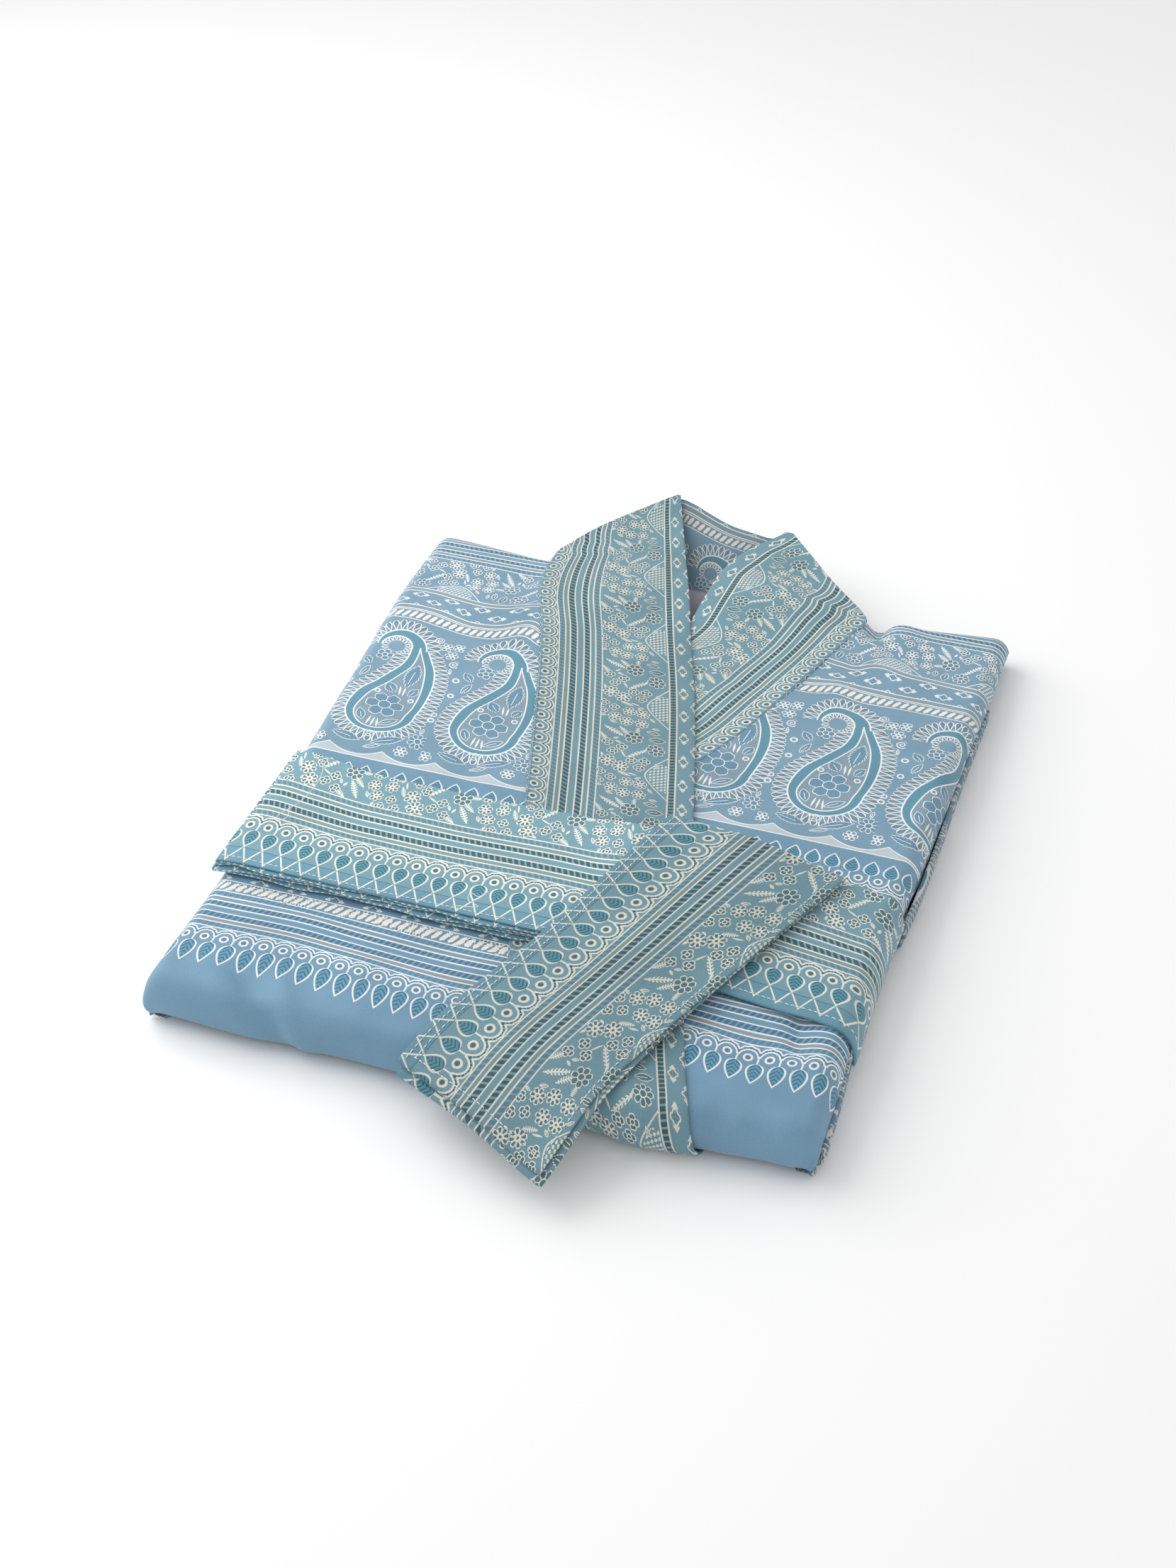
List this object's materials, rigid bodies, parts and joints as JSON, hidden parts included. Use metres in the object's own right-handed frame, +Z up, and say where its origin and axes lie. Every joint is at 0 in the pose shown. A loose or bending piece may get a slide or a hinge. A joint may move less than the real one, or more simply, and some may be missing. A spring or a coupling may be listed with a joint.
{
  "type": "kimono robe, folded",
  "caption": "Cotton kimono robe folded flat face up, with crossed neck band, standing back neck and its own belt laid over it.",
  "frame": {"origin": "middle of the folded package's footprint, on the surface that it lies on", "axes": "+Z up out of the surface, +Y from hem fold towards the neck, +X to the right of the robe as it lies face up"},
  "size_m": [0.3544, 0.5218, 0.047],
  "materials": {
    "body_cloth": "printed cotton sateen",
    "band_cloth": "printed cotton sateen, greener",
    "inner_cloth": "reverse of the printed cotton",
    "label_cloth": "plain woven label"
  },
  "bodies": {
    "root": {"folded_core": "inner_cloth", "front_left": "body_cloth", "front_right": "body_cloth", "neck_band_left": "band_cloth", "neck_band_right": "band_cloth", "neck_band_back": "band_cloth", "back_neck_facing": "inner_cloth", "neck_label": "label_cloth", "sleeve_right": "inner_cloth", "skirt_side_right": "inner_cloth", "sleeve_left": "inner_cloth", "belt_stack": "band_cloth", "belt_right": "band_cloth", "belt_end": "band_cloth"}
  },
  "joints": []
}
